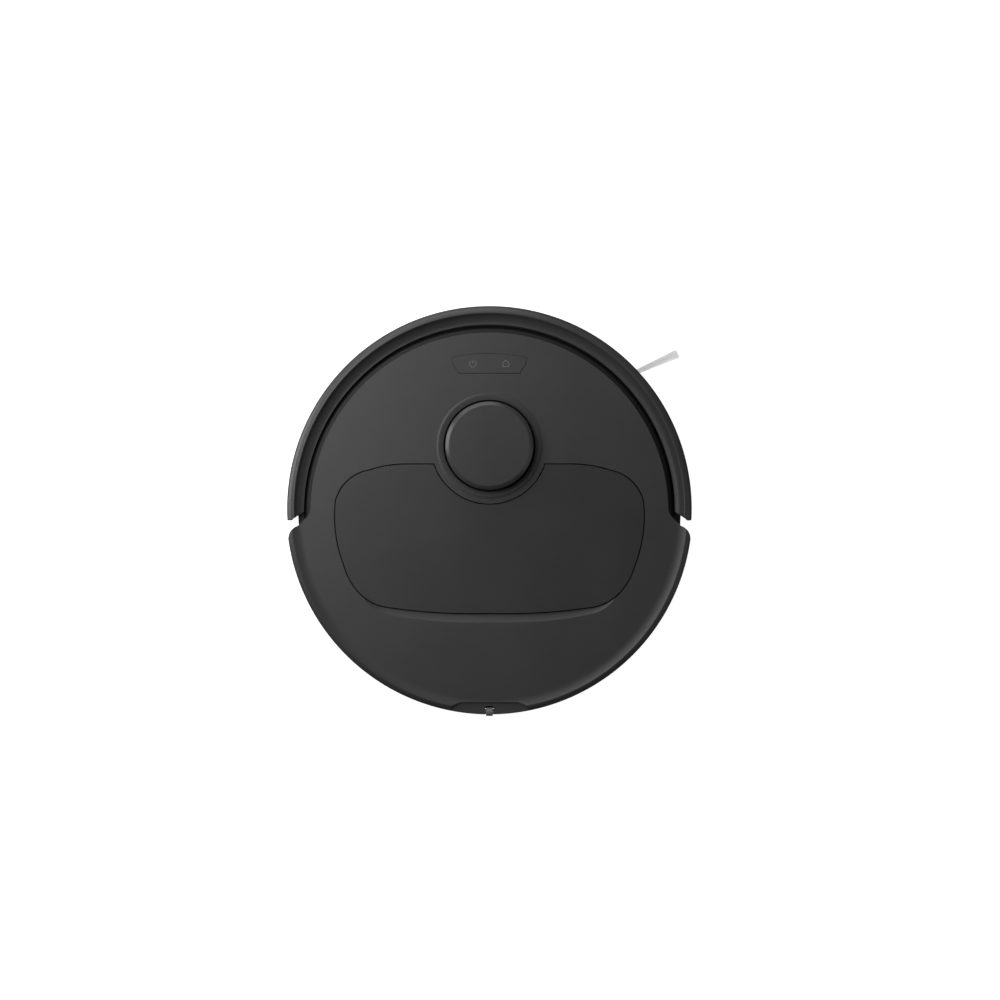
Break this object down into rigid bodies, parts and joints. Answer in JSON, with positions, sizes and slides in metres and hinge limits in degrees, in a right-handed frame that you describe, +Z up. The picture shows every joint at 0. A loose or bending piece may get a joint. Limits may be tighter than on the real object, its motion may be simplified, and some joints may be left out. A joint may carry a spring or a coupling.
{
  "type": "robot vacuum cleaner",
  "caption": "Round low robot vacuum with a laser turret, sprung front bumper, hinged lid over a dust bin, side brush, roller brush and drive wheels.",
  "frame": {"origin": "on the floor under the centre of the round body", "axes": "+Z up, +Y towards the bumper at the front, +X to the machine's right seen from above with the bumper ahead"},
  "size_m": [0.3488, 0.3532, 0.097],
  "materials": {
    "shell_grey": "fine matte dark grey plastic",
    "bumper_grey": "matte dark grey plastic with a satin outer band",
    "inner_black": "matte black plastic",
    "smoked_window": "gloss infrared window",
    "bin_clear": "smoked clear plastic",
    "filter_white": "pleated filter paper",
    "board_green": "circuit board",
    "roller_grey": "light grey nylon",
    "steel": "plain steel",
    "contact_metal": "plated contact",
    "tyre_rubber": "black rubber tread",
    "belt_rubber": "black rubber",
    "brush_rubber": "dark rubber and bristle strips",
    "bristle_white": "pale nylon bristles",
    "latch_orange": "orange plastic",
    "battery_blue": "shrink-wrapped cells"
  },
  "bodies": {
    "machine": {"chassis_base": "inner_black", "base_screws": "steel", "battery_cover": "inner_black", "charging_contacts": "contact_metal", "cliff_sensors": "smoked_window", "front_housing": "inner_black", "rear_shell": "shell_grey", "top_cover": "shell_grey", "bin_bay": "inner_black", "dust_bin": "bin_clear", "bin_top": "inner_black", "bin_filter": "filter_white", "bin_handle": "roller_grey", "button_board": "board_green", "rear_roller_axle": "steel", "bumper_switches": "inner_black", "lidar_base": "inner_black", "lidar_motor": "steel", "lidar_belt": "belt_rubber", "brush_chamber": "inner_black", "brush_cover": "shell_grey", "brush_cover_latches": "latch_orange", "brush_motor": "steel", "side_brush_gearbox": "inner_black", "caster_socket": "inner_black", "battery_pack": "battery_blue", "main_board": "board_green", "fan_housing": "inner_black", "fan_motor": "steel", "suspension_pin_left": "steel", "suspension_spring_left": "steel", "suspension_pin_right": "steel", "suspension_spring_right": "steel"},
    "lid": {"bin_lid": "shell_grey", "lid_hinge_pins": "steel"},
    "bumper": {"bumper_shell": "bumper_grey", "bumper_window": "smoked_window"},
    "buttons": {"button_panel": "shell_grey"},
    "turret_cap": {"lidar_cap": "shell_grey"},
    "scanner": {"lidar_rotor": "inner_black"},
    "scanner_pulley": {"lidar_pulley": "roller_grey"},
    "roller": {"rear_roller": "roller_grey"},
    "arm_left": {"wheel_arm_left": "inner_black", "wheel_motor_left": "steel"},
    "drive_wheel_left": {"wheel_tyre_left": "tyre_rubber", "wheel_hub_left": "roller_grey"},
    "arm_right": {"wheel_arm_right": "inner_black", "wheel_motor_right": "steel"},
    "drive_wheel_right": {"wheel_tyre_right": "tyre_rubber", "wheel_hub_right": "roller_grey"},
    "main_brush": {"main_brush_roller": "roller_grey", "main_brush_fins": "brush_rubber"},
    "side_brush": {"side_brush_hub": "inner_black", "side_brush_screw": "steel", "side_brush_bristles": "bristle_white"},
    "caster_swivel_body": {"caster_fork": "inner_black", "caster_axle": "steel"},
    "caster_wheel_body": {"caster_wheel": "tyre_rubber"},
    "fan": {"fan_impeller": "roller_grey"}
  },
  "joints": [
    {"name": "bumper_push", "type": "slide", "parent": "machine", "child": "bumper", "axis": [0, -1, 0], "range_m": [0, 0.003], "stiffness_N_per_m": 300, "springref_m": -0.004},
    {"name": "lid_hinge", "type": "hinge", "parent": "machine", "child": "lid", "pos_m": [0, 0.036, 0.0787], "axis": [-1, 0, 0], "range_deg": [0, 60]},
    {"name": "button_rock", "type": "hinge", "parent": "machine", "child": "buttons", "pos_m": [0, 0.127, 0.0787], "axis": [0, 1, 0], "range_deg": [-1.2, 1.2], "stiffness_Nm_per_rad": 0.5},
    {"name": "turret_cap_press", "type": "slide", "parent": "machine", "child": "turret_cap", "axis": [0, 0, -1], "range_m": [0, 0.001], "stiffness_N_per_m": 800, "springref_m": -0.001},
    {"name": "scanner_spin", "type": "hinge", "parent": "machine", "child": "scanner", "pos_m": [0, 0.0565, 0.08], "axis": [0, 0, 1], "continuous": true},
    {"name": "scanner_pulley_spin", "type": "hinge", "parent": "machine", "child": "scanner_pulley", "pos_m": [-0.055, 0.07, 0.068], "axis": [0, 0, 1], "continuous": true},
    {"name": "rear_roller_spin", "type": "hinge", "parent": "machine", "child": "roller", "pos_m": [0, -0.1723, 0.0743], "axis": [1, 0, 0], "continuous": true},
    {"name": "main_brush_spin", "type": "hinge", "parent": "machine", "child": "main_brush", "pos_m": [0, 0.003, 0.0225], "axis": [1, 0, 0], "continuous": true},
    {"name": "side_brush_spin", "type": "hinge", "parent": "machine", "child": "side_brush", "pos_m": [0.0924, 0.1056, 0.008], "axis": [0, 0, 1], "continuous": true},
    {"name": "caster_swivel", "type": "hinge", "parent": "machine", "child": "caster_swivel_body", "pos_m": [0, 0.125, 0.03], "axis": [0, 0, 1], "continuous": true},
    {"name": "caster_roll", "type": "hinge", "parent": "caster_swivel_body", "child": "caster_wheel_body", "pos_m": [0, 0.123, 0.013], "axis": [1, 0, 0], "continuous": true},
    {"name": "fan_spin", "type": "hinge", "parent": "machine", "child": "fan", "pos_m": [0.058, -0.121, 0.048], "axis": [0, 0, 1], "continuous": true},
    {"name": "suspension_left", "type": "hinge", "parent": "machine", "child": "arm_left", "pos_m": [-0.1, 0.038, 0.04], "axis": [1, 0, 0], "range_deg": [0, 22], "stiffness_Nm_per_rad": 0.12, "springref_deg": 80.21},
    {"name": "wheel_left_spin", "type": "hinge", "parent": "arm_left", "child": "drive_wheel_left", "pos_m": [-0.118, -0.008, 0.035], "axis": [1, 0, 0], "continuous": true},
    {"name": "suspension_right", "type": "hinge", "parent": "machine", "child": "arm_right", "pos_m": [0.1, 0.038, 0.04], "axis": [1, 0, 0], "range_deg": [0, 22], "stiffness_Nm_per_rad": 0.12, "springref_deg": 80.21},
    {"name": "wheel_right_spin", "type": "hinge", "parent": "arm_right", "child": "drive_wheel_right", "pos_m": [0.118, -0.008, 0.035], "axis": [1, 0, 0], "continuous": true}
  ],
  "couplings": [
    {"joint": "scanner_pulley_spin", "follows": "scanner_spin", "ratio": 4.4}
  ]
}
